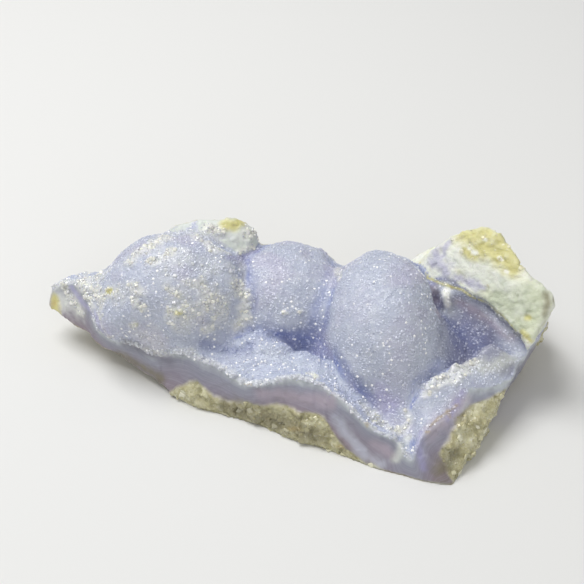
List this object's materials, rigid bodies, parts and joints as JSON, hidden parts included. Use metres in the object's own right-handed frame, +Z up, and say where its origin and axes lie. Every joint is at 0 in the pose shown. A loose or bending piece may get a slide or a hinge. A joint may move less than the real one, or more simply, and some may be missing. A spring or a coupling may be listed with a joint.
{
  "type": "chalcedony specimen",
  "caption": "Broken geode-wall fragment of blue-lavender chalcedony: rounded drusy lobes in an open hollow, with a quartz rind and an overhanging block at its thick end.",
  "frame": {"origin": "under the middle of the whole, on the plane that the specimen rests on", "axes": "+X along the fragment from its thin tip to its overhanging end, +Y from the front corner to the rough back, +Z up"},
  "size_m": [0.1036, 0.0512, 0.0298],
  "materials": {
    "chalcedony": "waxy on broken faces, rough and granular on the rind",
    "quartz_druse": "sparkling, covered with fine crystals"
  },
  "bodies": {
    "root": {"stone": "chalcedony", "crystal_crust": "quartz_druse"}
  },
  "joints": []
}
